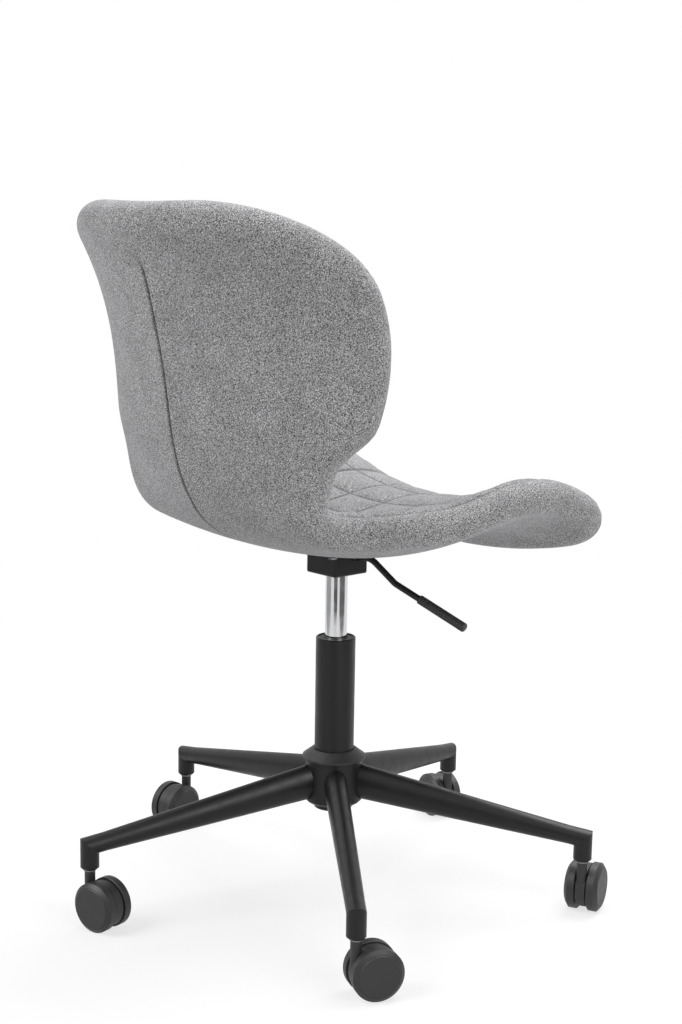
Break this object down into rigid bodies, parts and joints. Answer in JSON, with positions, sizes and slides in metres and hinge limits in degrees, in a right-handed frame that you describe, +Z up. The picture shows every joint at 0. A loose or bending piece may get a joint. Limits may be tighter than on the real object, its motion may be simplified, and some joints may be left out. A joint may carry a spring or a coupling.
{
  "type": "swivel office chair",
  "caption": "Swivel office chair: felt-covered bucket seat with a quilted inside, gas lift with lever, star base on twin-wheel casters",
  "frame": {"origin": "on the floor, on the axis of the gas lift column", "axes": "+Z up along the column, the sitter faces -Y, +X to the sitter's left"},
  "size_m": [0.6309, 0.6587, 0.8746],
  "materials": {
    "black_powder_coat": "satin",
    "black_nylon": "matte",
    "chrome": "polished",
    "steel": "satin",
    "moulded_shell": "matte",
    "grey_felt": "matte melange wool felt"
  },
  "bodies": {
    "base": {"hub": "black_powder_coat", "hub_cap": "black_nylon", "leg_1": "black_powder_coat", "leg_2": "black_powder_coat", "leg_3": "black_powder_coat", "leg_4": "black_powder_coat", "leg_5": "black_powder_coat", "column_tube": "black_powder_coat", "guide_bushing": "black_nylon", "thrust_bearing": "steel"},
    "gas_rod": {"piston_rod": "steel", "piston": "black_nylon", "retaining_clip": "steel"},
    "seat": {"gas_cylinder": "chrome", "rod_guide": "black_nylon", "mechanism_housing": "black_powder_coat", "lever_bush": "black_nylon", "mounting_plate": "black_powder_coat", "seat_bolts": "steel", "threaded_inserts": "steel", "inner_shell": "moulded_shell", "back_cover": "grey_felt", "seat_pad": "grey_felt"},
    "lever": {"lever_rod": "black_powder_coat", "lever_grip": "black_nylon"},
    "valve": {"valve_pin": "steel"},
    "caster_1": {"caster_fork_1": "black_nylon", "caster_stem_1": "steel", "caster_axle_1": "steel"},
    "wheel_1a": {"wheel_1a": "black_nylon"},
    "wheel_1b": {"wheel_1b": "black_nylon"},
    "caster_2": {"caster_fork_2": "black_nylon", "caster_stem_2": "steel", "caster_axle_2": "steel"},
    "wheel_2a": {"wheel_2a": "black_nylon"},
    "wheel_2b": {"wheel_2b": "black_nylon"},
    "caster_3": {"caster_fork_3": "black_nylon", "caster_stem_3": "steel", "caster_axle_3": "steel"},
    "wheel_3a": {"wheel_3a": "black_nylon"},
    "wheel_3b": {"wheel_3b": "black_nylon"},
    "caster_4": {"caster_fork_4": "black_nylon", "caster_stem_4": "steel", "caster_axle_4": "steel"},
    "wheel_4a": {"wheel_4a": "black_nylon"},
    "wheel_4b": {"wheel_4b": "black_nylon"},
    "caster_5": {"caster_fork_5": "black_nylon", "caster_stem_5": "steel", "caster_axle_5": "steel"},
    "wheel_5a": {"wheel_5a": "black_nylon"},
    "wheel_5b": {"wheel_5b": "black_nylon"}
  },
  "joints": [
    {"name": "seat_swivel", "type": "hinge", "parent": "base", "child": "gas_rod", "pos_m": [0, 0, 0.12], "axis": [0, 0, 1], "continuous": true},
    {"name": "seat_lift", "type": "slide", "parent": "gas_rod", "child": "seat", "axis": [0, 0, 1], "range_m": [-0.07, 0]},
    {"name": "lever_pull", "type": "hinge", "parent": "seat", "child": "lever", "pos_m": [-0.02555, -0.00685, 0.4395], "axis": [-0.2588, 0.9659, 0], "range_deg": [0, 8]},
    {"name": "valve_press", "type": "slide", "parent": "seat", "child": "valve", "axis": [0, 0, 1], "range_m": [-0.0045, 0]},
    {"name": "caster_swivel_1", "type": "hinge", "parent": "base", "child": "caster_1", "pos_m": [0.10753, 0.30033, 0.07], "axis": [0, 0, 1], "continuous": true},
    {"name": "wheel_spin_1a", "type": "hinge", "parent": "caster_1", "child": "wheel_1a", "pos_m": [0.08643, 0.29623, 0.0305], "axis": [0.1908, -0.9816, 0], "continuous": true},
    {"name": "wheel_spin_1b", "type": "hinge", "parent": "caster_1", "child": "wheel_1b", "pos_m": [0.08643, 0.29623, 0.0305], "axis": [0.1908, -0.9816, 0], "continuous": true},
    {"name": "caster_swivel_2", "type": "hinge", "parent": "base", "child": "caster_2", "pos_m": [-0.2524, 0.19508, 0.07], "axis": [0, 0, 1], "continuous": true},
    {"name": "wheel_spin_2a", "type": "hinge", "parent": "caster_2", "child": "wheel_2a", "pos_m": [-0.26101, 0.17538, 0.0305], "axis": [0.9164, -0.4003, 0], "continuous": true},
    {"name": "wheel_spin_2b", "type": "hinge", "parent": "caster_2", "child": "wheel_2b", "pos_m": [-0.26101, 0.17538, 0.0305], "axis": [0.9164, -0.4003, 0], "continuous": true},
    {"name": "caster_swivel_3", "type": "hinge", "parent": "base", "child": "caster_3", "pos_m": [-0.26353, -0.17977, 0.07], "axis": [0, 0, 1], "continuous": true},
    {"name": "wheel_spin_3a", "type": "hinge", "parent": "caster_3", "child": "wheel_3a", "pos_m": [-0.25495, -0.19948, 0.0305], "axis": [0.9171, 0.3987, 0], "continuous": true},
    {"name": "wheel_spin_3b", "type": "hinge", "parent": "caster_3", "child": "wheel_3b", "pos_m": [-0.25495, -0.19948, 0.0305], "axis": [0.9171, 0.3987, 0], "continuous": true},
    {"name": "caster_swivel_4", "type": "hinge", "parent": "base", "child": "caster_4", "pos_m": [0.08953, -0.30618, 0.07], "axis": [0, 0, 1], "continuous": true},
    {"name": "wheel_spin_4a", "type": "hinge", "parent": "caster_4", "child": "wheel_4a", "pos_m": [0.11056, -0.31068, 0.0305], "axis": [0.2096, 0.9778, 0], "continuous": true},
    {"name": "wheel_spin_4b", "type": "hinge", "parent": "caster_4", "child": "wheel_4b", "pos_m": [0.11056, -0.31068, 0.0305], "axis": [0.2096, 0.9778, 0], "continuous": true},
    {"name": "caster_swivel_5", "type": "hinge", "parent": "base", "child": "caster_5", "pos_m": [0.31886, -0.00946, 0.07], "axis": [0, 0, 1], "continuous": true},
    {"name": "wheel_spin_5a", "type": "hinge", "parent": "caster_5", "child": "wheel_5a", "pos_m": [0.31616, 0.01187, 0.0305], "axis": [-0.9921, -0.1253, 0], "continuous": true},
    {"name": "wheel_spin_5b", "type": "hinge", "parent": "caster_5", "child": "wheel_5b", "pos_m": [0.31616, 0.01187, 0.0305], "axis": [-0.9921, -0.1253, 0], "continuous": true}
  ],
  "couplings": [
    {"joint": "valve_press", "follows": "lever_pull", "m_per_rad": -0.0278}
  ]
}
